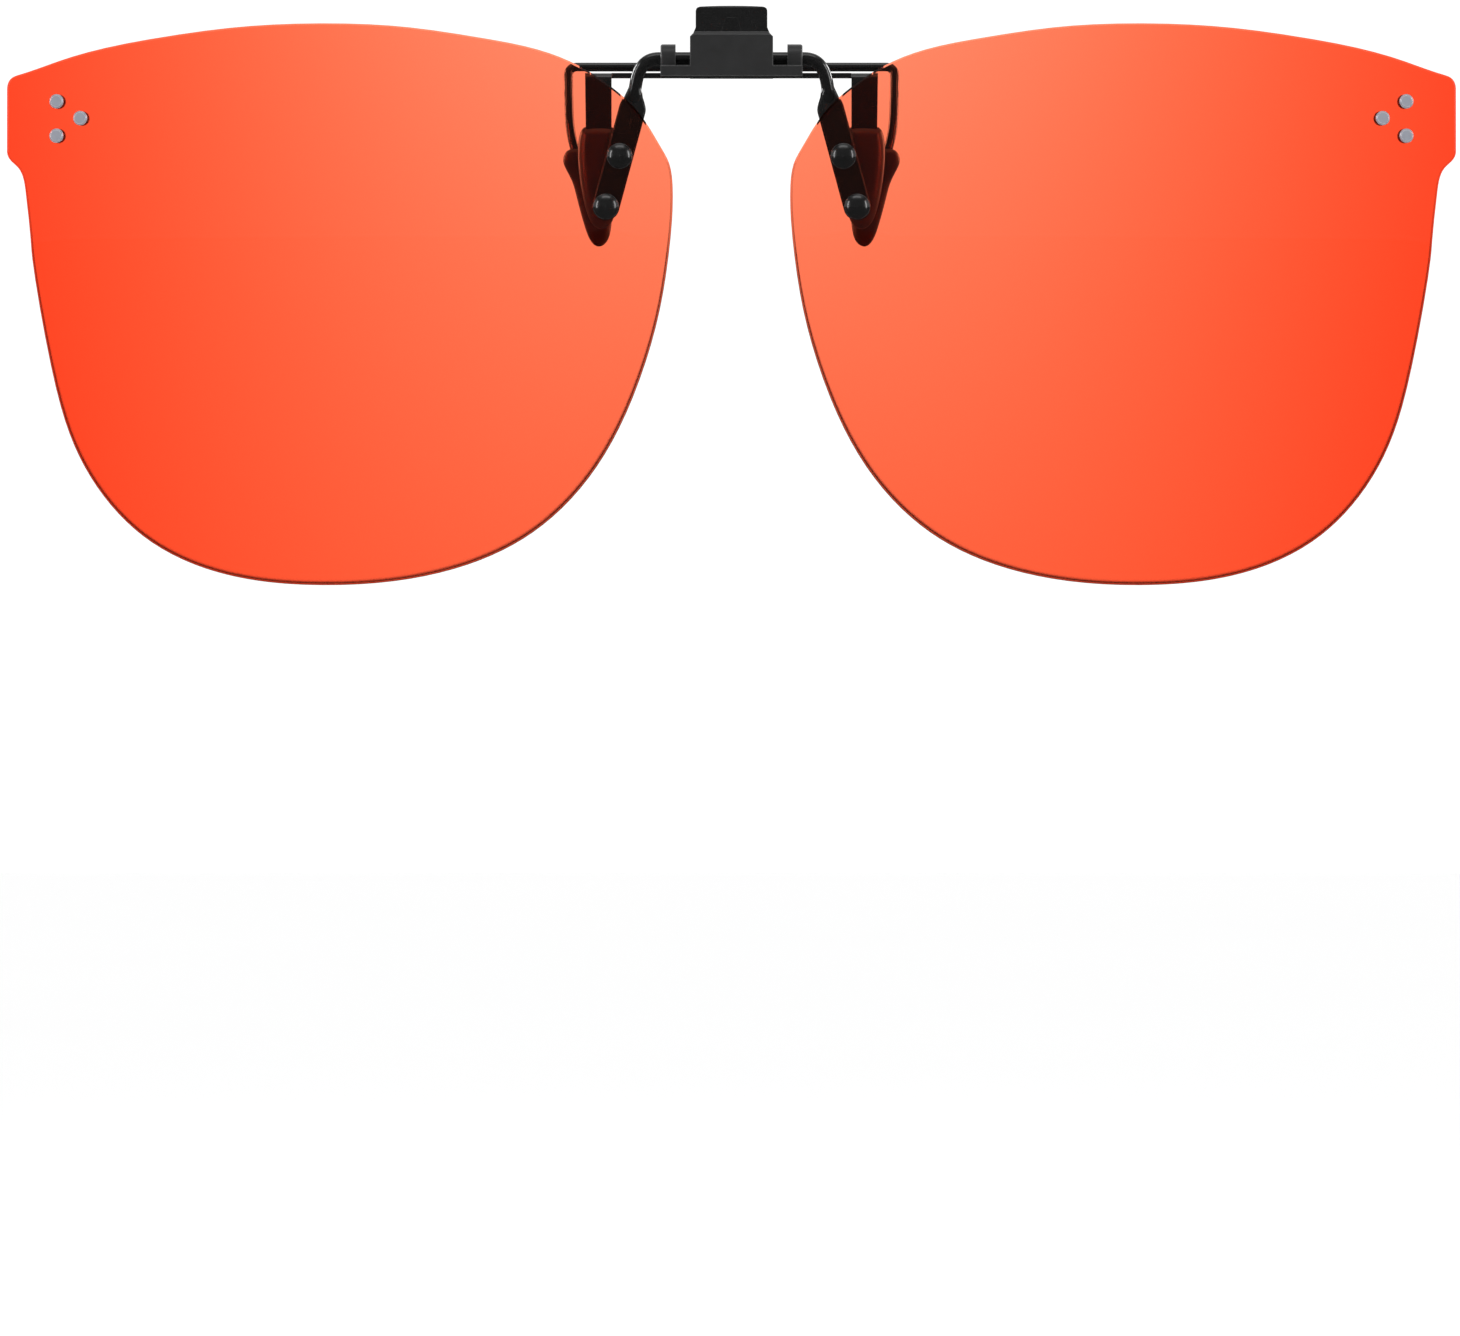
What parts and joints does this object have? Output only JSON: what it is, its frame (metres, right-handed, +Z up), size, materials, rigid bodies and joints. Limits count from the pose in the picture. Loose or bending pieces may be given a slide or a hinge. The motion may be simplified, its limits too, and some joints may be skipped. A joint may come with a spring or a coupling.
{
  "type": "clip-on flip-up sunglass lenses",
  "caption": "Flip-up clip-on tinted lenses: a central spring clip grips spectacles, and both lenses swing up together on a detented axle.",
  "frame": {"origin": "middle of the closed jaw: on the symmetry plane, midway between the front sleeves and the rear pads, halfway down them", "axes": "+X to the right as seen from the front, +Z up with the lenses hanging down, -Y out of the front of the lenses, so +Y points to the wearer"},
  "size_m": [0.1454, 0.0114, 0.0582],
  "materials": {
    "satin_bracket": "satin black lacquer on a small casting",
    "black_metal": "gloss black plating on steel",
    "bright_steel": "bright nickel",
    "spring_steel": "plain drawn spring steel",
    "tinted_lens": "clear red-orange tinted optical plastic, darker towards the outer lower edge",
    "rubber": "smooth moulded black rubber"
  },
  "bodies": {
    "clip": {"hinge_body": "satin_bracket", "claw_plate": "black_metal", "plate_rivets": "bright_steel", "left_front_sleeve": "rubber", "right_front_sleeve": "rubber", "detent_leaf": "spring_steel", "torsion_spring": "spring_steel"},
    "lens_pair": {"detent_cam": "bright_steel", "left_lens_arm": "black_metal", "right_lens_arm": "black_metal", "left_lens": "tinted_lens", "right_lens": "tinted_lens", "left_lens_rivets": "black_metal", "right_lens_rivets": "black_metal", "left_corner_studs": "bright_steel", "right_corner_studs": "bright_steel"},
    "lever": {"squeeze_lever": "black_metal", "claw_wire": "black_metal", "left_rear_pad": "rubber", "right_rear_pad": "rubber"}
  },
  "joints": [
    {"name": "lens_flip", "type": "hinge", "parent": "clip", "child": "lens_pair", "pos_m": [0, -0.00265, 0.0125], "axis": [-1, 0, 0], "range_deg": [0, 90], "deforming": ["detent_leaf"]},
    {"name": "lever_squeeze", "type": "hinge", "parent": "clip", "child": "lever", "pos_m": [0, 0.00435, 0.01185], "axis": [1, 0, 0], "range_deg": [0, 25], "stiffness_Nm_per_rad": 0.03, "springref_deg": -20.05, "deforming": ["torsion_spring"]}
  ]
}
